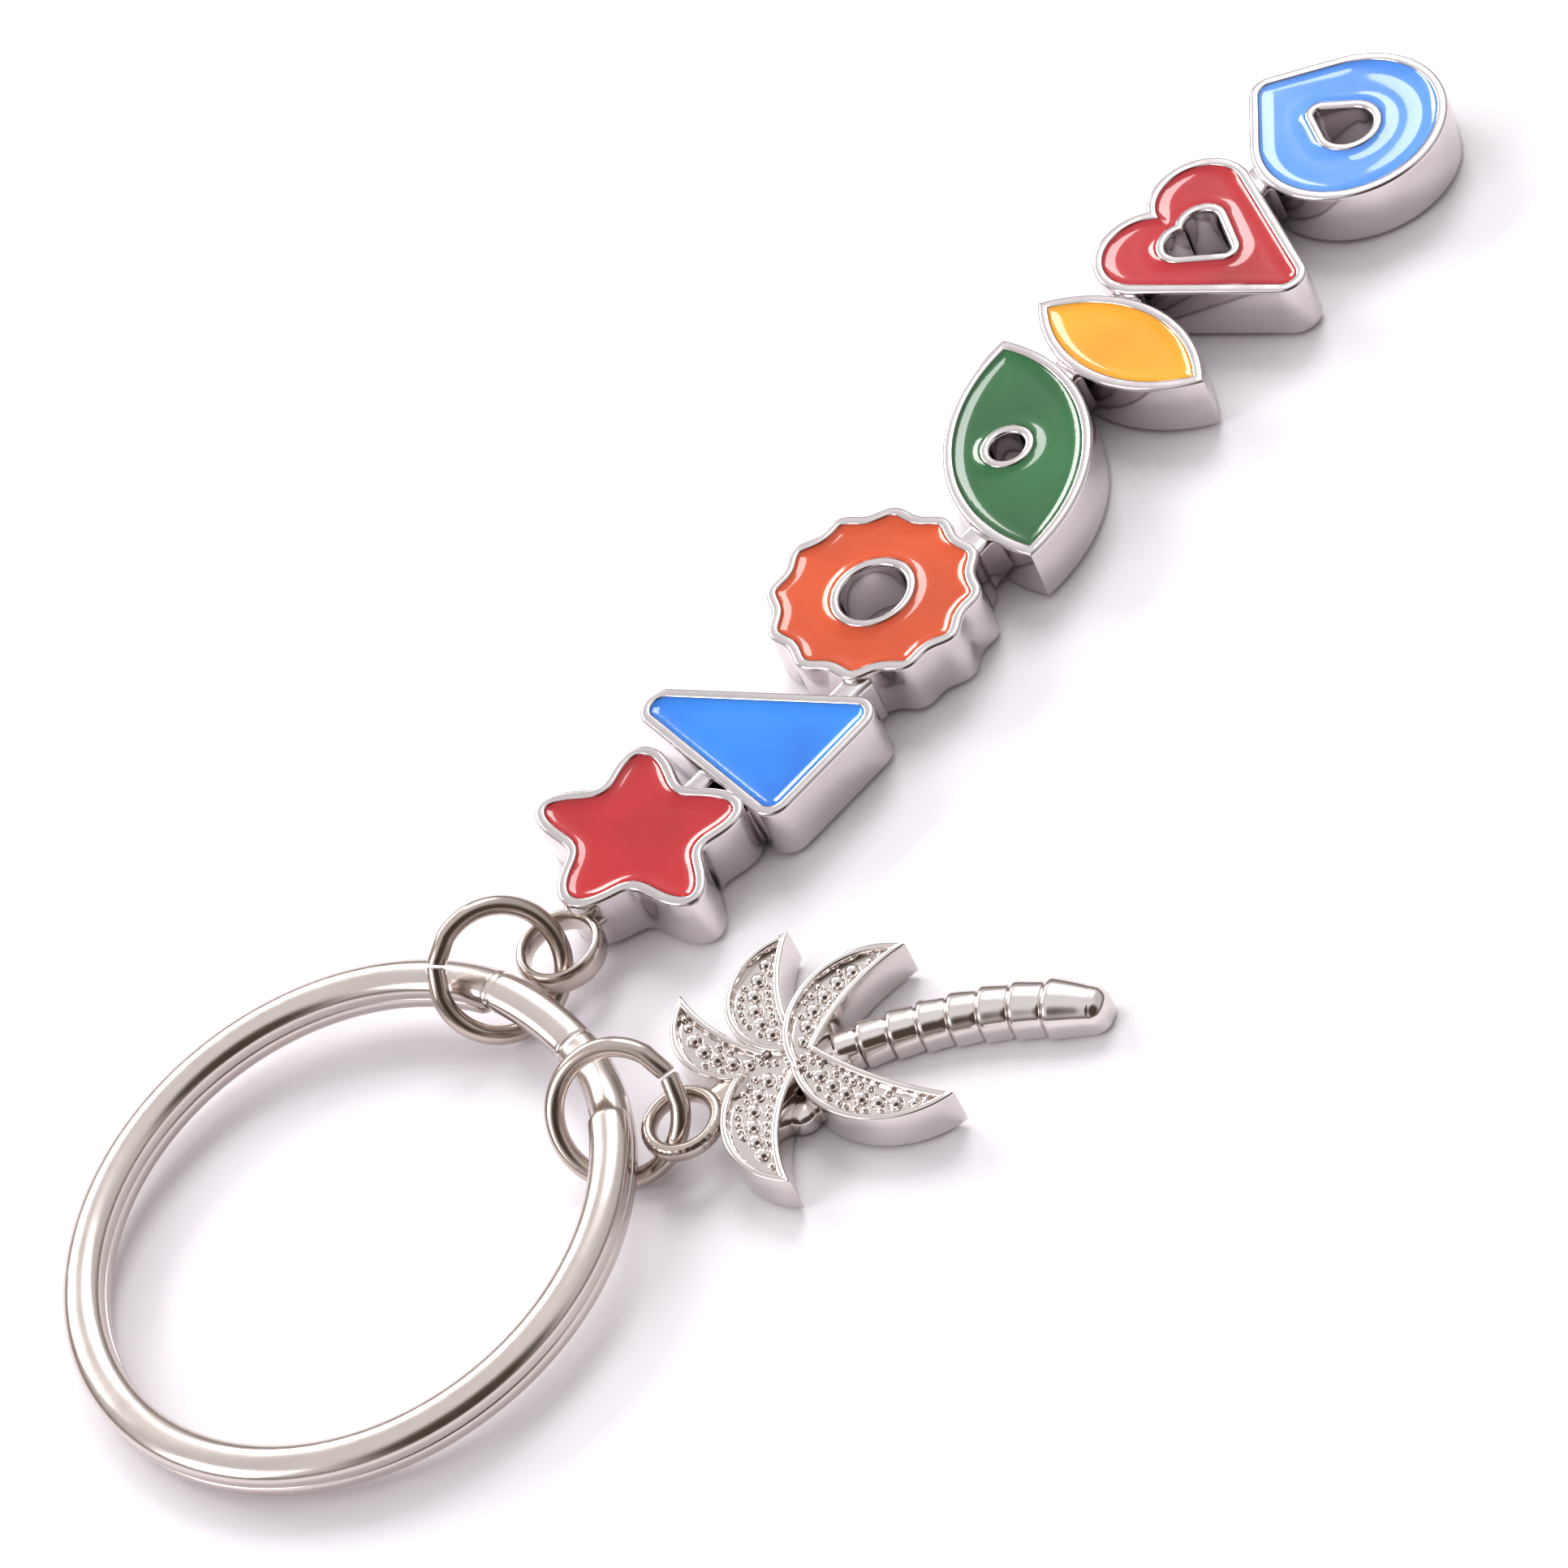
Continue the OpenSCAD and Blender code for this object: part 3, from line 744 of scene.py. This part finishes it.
def make_frond(k):
    z0, top = BASE_Z, BASE_Z + FROND_H
    tray_z = top - FROND_TRAY
    ob = tool([level(crescent(k, d), z0 + z) for d, z in FROND_EDGE])
    ob.name = f"frond_{k + 1}_body"
    if k == ROOT_FROND:
        combine(ob, "UNION", [tool([level(circle(ROOT, ROOT_R), z) for z in (z0 + 0.001, top - 0.001)])])
    # the tray's walls lean out and its rim is rounded over
    walls = [(0.08, tray_z), (0.03, tray_z + 0.05), (0.0, top - 0.14), (-0.025, top - 0.06),
             (-0.06, top - 0.02), (-0.12, top + 0.002), (-0.12, top + 1)]
    cuts = [tool([level(crescent(j, FROND_RIM + d), z) for d, z in walls]) for j in TRAYS[k]]
    through = [crescent(j, FIT) for j in OVER[k]]
    if k in UNDER_TOP:
        centre, r = frond_circles(TOP_FROND)[:2]
        through.append(circle(centre, r - FIT))
    if k == ROOT_CUT:
        through.append(circle(ROOT, ROOT_R - FIT))
    cuts += [tool([level(loop, z) for z in (z0 - 1, top + 1)]) for loop in through]
    combine(ob, "DIFFERENCE", cuts)
    ob.data.shade_smooth()
    ob.data.set_sharp_from_angle(angle=rad(32))
    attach(ob, "charm")
    make_beads(k, tray_z - 0.02)


# a bead's section, as (share of its radius, share of its height): a dome with a softly flattened top
DOME = [(1.0, 0.0), (0.99, 0.18), (0.93, 0.38), (0.83, 0.57), (0.69, 0.74), (0.52, 0.87), (0.33, 0.95),
        (0.12, 1.0)]
BEAD_PITCH = 1.0  # between the larger beads
BIG_BEAD_R, BIG_BEAD_H = (0.22, 0.44), (0.28, 0.42)  # least and greatest
SMALL_BEAD_R, SMALL_BEAD_H = (0.20, 0.235), 0.29
BEAD_GAP = 0.03  # between a bead and the frond over it


def dome_bead(skin, p, r, h, turn, sides):
    t = turn + 2 * pi * np.arange(sides) / sides
    rings = [np.column_stack([r * q * cos(t), r * q * sin(t), np.full(sides, h * z)]) + p for q, z in DOME]
    skin.loft(rings, caps=(False, True))


def make_beads(k, z):
    """Beads in the tray: a row of larger ones along the middle with small ones beside and between them."""
    _, _, bow_out, bow_in, _ = FRONDS[k]
    *_, base, u, n, length = frond_circles(k)
    rng = np.random.default_rng(11 + k)
    over = [crescent(j, -BEAD_GAP) for j in OVER[k]]
    if k in UNDER_TOP:
        centre, r = frond_circles(TOP_FROND)[:2]
        over.append(circle(centre, r + BEAD_GAP))
    own = crescent(k, 0)
    trays = [crescent(j, FROND_RIM) for j in TRAYS[k]]
    skin = Skin()
    placed = []

    def bead(p, r, h):
        """Adds a bead where it is in the open, inside the trays and clear of the beads before it."""
        q = np.array([p])
        if any(inside(q, loop)[0] for loop in over) or not inside(q, own)[0]:
            return
        room = max([edge_distance(q, loop)[0] if inside(q, loop)[0] else 0 for loop in trays])
        if room < r * 0.9:
            return
        if any(np.hypot(*(p - other)) < (r + other_r) * 1.03 for other, other_r in placed):
            return
        placed.append((p, r))
        dome_bead(skin, (*p, z), r, h, rng.uniform(0, 1), 22 if r > 0.3 else 14)

    def spot(t, across):
        """Point at share t of the frond's length and share across of its half width, and that half width."""
        bow = 4 * t * (1 - t)
        half = (bow_out - bow_in) * bow / 2 - FROND_RIM
        return base + u * length * t + n * ((bow_out + bow_in) / 2 * bow + across * max(0.0, half)), half

    shares = np.linspace(0, 1, 200)
    middle = np.array([spot(t, 0)[0] for t in shares])
    run = np.concatenate([[0], np.cumsum(np.linalg.norm(np.diff(middle, axis=0), axis=1))])
    for t in np.interp(np.arange(0.5, run[-1] - 0.5, BEAD_PITCH), run, shares):
        p, half = spot(t, 0)
        bead(p, min(BIG_BEAD_R[1], max(BIG_BEAD_R[0], half * 0.66)), BIG_BEAD_H[1 if half > 0.5 else 0])
    for i, t in enumerate(np.linspace(0.03, 0.97, 60)):
        for across in (0.66, -0.66, 0.4, -0.4):
            p, _ = spot(t + rng.uniform(-0.004, 0.004), across)
            bead(p, SMALL_BEAD_R[i % 2], SMALL_BEAD_H)
    skin.build(f"frond_{k + 1}_beads", charm_metal, "charm", f"frond_{k + 1}", sharp=70)


for k in range(len(FRONDS)):
    make_frond(k)

# webs in the two corners beside the lower frond, as (x, y, radius, height), with a soft top edge
WEBS = [(21.9, -15.5, 0.9, 1.5), (18.6, -16.0, 1.0, 1.15)]
WEB_SIDE = [(0.9, 0.0), (1.0, 0.07), (1.0, 0.6), (0.93, 0.8), (0.75, 0.93), (0.4, 0.99), (0.1, 1.0)]


def make_webs():
    skin = Skin()
    for x, y, r, h in WEBS:
        skin.loft([level(circle((x, y), r * q), BASE_Z + h * z) for q, z in WEB_SIDE], caps=(True, True))
    # filling of the crown under the trays, which closes the pinholes where the fronds meet
    heights = (0.02, FROND_H - FROND_TRAY - 0.06)
    skin.loft([level(circle((20.2, -14.5), 1.0), BASE_Z + z) for z in heights], caps=(True, True))
    skin.build("crown_webs", charm_metal, "charm", "crown_web")


make_webs()

# trunk: joints with a raised lip at the crown end, along a bent line, flat below
TRUNK_S = [0, 1.35, 3.0, 4.65, 6.3, 7.95, 9.65, 11.5, 14.1]  # where the joints start, along the trunk
TRUNK_LEN = 15.1
TRUNK_START = np.array([22.2, -15.05])
TRUNK_HEADING, TRUNK_BEND = -32, -34  # degrees: at the crown, and by how much it turns along its length
# a joint as (share of its length, growth of its radius): the rise onto the lip, and the fall at the end
LIP_RISE = [(0.0, -0.14), (0.02, -0.05), (0.045, 0.04), (0.08, 0.095), (0.13, 0.125)]
END_FALL = [(0.93, 0.02), (0.965, 0.06), (0.988, 0.115), (1.0, 0.16)]
# the trunk's far end, as (length along the trunk, radius)
NOSE = [(14.2, 1.14), (14.4, 1.04), (14.58, 0.92), (14.72, 0.77), (14.82, 0.57), (14.86, 0.35)]


def trunk_head(s):
    return rad(TRUNK_HEADING + TRUNK_BEND * s / TRUNK_LEN)


def trunk_point(s, n=40):
    """Point at length s along the trunk's bent line, summed from n short steps."""
    t = (np.arange(n) + 0.5) * s / n
    return TRUNK_START + s / n * np.array([cos(trunk_head(t)).sum(), sin(trunk_head(t)).sum()])


def trunk_section(r):
    """Upright walls below, rounded shoulders above; r is half the width."""
    top = 0.72 + r
    wall = 0.38 * top
    foot = [(0.93 * r, 0.0), (0.985 * r, 0.05), (r, 0.14)]
    a = np.linspace(0, pi, 44)
    crown = list(zip(r * soft_power(cos(a), 0.88), wall + (top - wall) * sin(a) ** 0.88))
    return np.array(foot + crown + [(-x, z) for x, z in foot[::-1]])


def trunk_rows():
    """(length along the trunk, radius) of its sections."""
    rows = [(-0.9, 0.90), (0.0, 0.92)]  # the root, inside the crown
    joints = len(TRUNK_S) - 1
    for i in range(joints):
        s0, s1 = TRUNK_S[i], TRUNK_S[i + 1]
        r = min(0.97 + 0.60 * s0 / TRUNK_LEN, 1.33)
        # what the lip and the joint's end add to the radius, and how much of the fall there is
        lip, tail, fall = (0.13, 0.03, 1.0) if i < joints - 1 else (0.20, -0.14, 0.35)
        rows += [(s0 + (s1 - s0) * u, r + q + lip - 0.13) for u, q in LIP_RISE]
        rows += [(s0 + (s1 - s0) * u, r + lip + (tail - lip) * (u - 0.13) / 0.75)
                 for u in np.linspace(0.2, 0.88, 6)]
        rows += [(s0 + (s1 - s0) * u, r + tail - q * fall) for u, q in END_FALL]
    return rows + NOSE


def make_trunk():
    rings = []
    for s, r in trunk_rows():
        p, h = trunk_point(max(s, 0.01)), trunk_head(s)
        if s <= 0:
            p = p + s * np.array([cos(h), sin(h)])
        across, up = trunk_section(r).T
        rings.append(np.column_stack([p[0] - sin(h) * across, p[1] + cos(h) * across, BASE_Z + up]))
    skin = Skin()
    skin.loft(rings, caps=(True, True), flip=True)
    skin.build("trunk", charm_metal, "charm", "palm_trunk", sharp=40, weld=0.0001)


make_trunk()
make_charm_eye()

# ---------------------------------------------------------------- floor
FLOOR_GAP = 0.0001  # metres between the object's lowest point and the floor
bpy.ops.mesh.primitive_plane_add(size=4, location=(0, 0, cad_box[0][2] - FLOOR_GAP))
floor = bpy.context.object
floor.name = "floor"
paper, nt, b = new_material("floor_paper")
fibres = noise_node(nt, scale=40, detail=4, rough=0.5)
paper_tint = ramp(nt, fibres, [(0.3, (0.92, 0.89, 0.94)), (0.7, (0.94, 0.915, 0.96))])
nt.links.new(paper_tint, b.inputs["Base Color"])
b.inputs["Roughness"].default_value = 0.75
b.inputs["Specular IOR Level"].default_value = 0.2
floor.data.materials.append(paper)

# ---------------------------------------------------------------- light
scene = bpy.context.scene
world = bpy.data.worlds.new("studio")
scene.world = world
world.use_nodes = True
nt = world.node_tree
towards = nt.nodes.new("ShaderNodeTexCoord").outputs["Generated"]
split = nt.nodes.new("ShaderNodeSeparateXYZ")
nt.links.new(towards, split.inputs[0])


def patch(direction, stops):
    """Colour that changes with the angle from a direction; stops are (degrees, colour)."""
    dot = nt.nodes.new("ShaderNodeVectorMath")
    dot.operation = "DOT_PRODUCT"
    dot.inputs[1].default_value = Vector(direction).normalized()
    nt.links.new(towards, dot.inputs[0])
    return ramp(nt, dot.outputs["Value"], sorted((float(cos(rad(a))), c) for a, c in stops))


def blend(kind, a, b):
    mix = nt.nodes.new("ShaderNodeMixRGB")
    mix.blend_type = kind
    mix.inputs[0].default_value = 1.0
    nt.links.new(a, mix.inputs[1])
    nt.links.new(b, mix.inputs[2])
    return mix.outputs[0]


# the room's walls and ceiling by height, a large white reflector overhead to the right, a weaker one
# behind, and dark furniture in front
sky = ramp(nt, split.outputs[2], [(0.0, (0.11, 0.088, 0.075)), (0.22, (0.22, 0.195, 0.18)),
                                  (0.42, (0.46, 0.445, 0.455)), (0.72, (0.46, 0.45, 0.455)),
                                  (1.0, (0.60, 0.59, 0.60))])
reflector = patch((0.56, 0.39, 0.73), [(24, (0, 0, 0)), (12, (0.30, 0.30, 0.30))])
behind = patch((0.05, 0.86, 0.50), [(22, (0, 0, 0)), (8, (0.14, 0.14, 0.14))])
furniture = patch((-0.29, -0.72, 0.63), [(40, (1, 1, 1)), (25, (0.12, 0.09, 0.07))])
light = blend("MULTIPLY", blend("ADD", blend("ADD", sky, reflector), behind), furniture)
background = nt.nodes["Background"]
nt.links.new(light, background.inputs["Color"])
background.inputs["Strength"].default_value = 1.6

AIM = Vector((0.037, 0.0, 0.0))  # the point that the softboxes face, near the object's middle


def softbox(name, direction, distance, size, power, colour):
    lamp = bpy.data.lights.new(name, "AREA")
    lamp.shape = "RECTANGLE"
    lamp.size, lamp.size_y = size
    lamp.energy = power
    lamp.color = colour
    o = bpy.data.objects.new(name, lamp)
    scene.collection.objects.link(o)
    d = Vector(direction).normalized()
    o.location = AIM + d * distance
    o.rotation_euler = (-d).to_track_quat("-Z", "Y").to_euler()


softbox("soft_back", (0.0, 0.87, 0.50), 0.60, (0.46, 0.16), 2.1, (1.0, 0.99, 0.97))
softbox("soft_high", (0.548, 0.413, 0.727), 1.00, (0.40, 0.42), 3.6, (1.0, 0.99, 0.99))
softbox("soft_left", (-0.85, 0.25, 0.50), 0.60, (0.30, 0.30), 1.0, (0.98, 0.98, 1.0))

# ---------------------------------------------------------------- camera
CAMERA_AT = Vector((-0.057323, -0.201543, 0.221605))  # metres
CAMERA_RIGHT = Vector((0.66974, -0.66532, -0.32985)).normalized()
CAMERA_FORWARD = Vector((0.28978, 0.64312, -0.70882)).normalized()
lens_data = bpy.data.cameras.new("camera")
lens_data.sensor_width = 36.0
lens_data.lens = 134.6
lens_data.clip_start = 0.01
camera = bpy.data.objects.new("camera", lens_data)
scene.collection.objects.link(camera)
axes = Matrix((CAMERA_RIGHT, CAMERA_RIGHT.cross(CAMERA_FORWARD), -CAMERA_FORWARD)).transposed()
camera.matrix_world = Matrix.Translation(CAMERA_AT) @ axes.to_4x4()
scene.camera = camera
scene.view_settings.view_transform = "Standard"
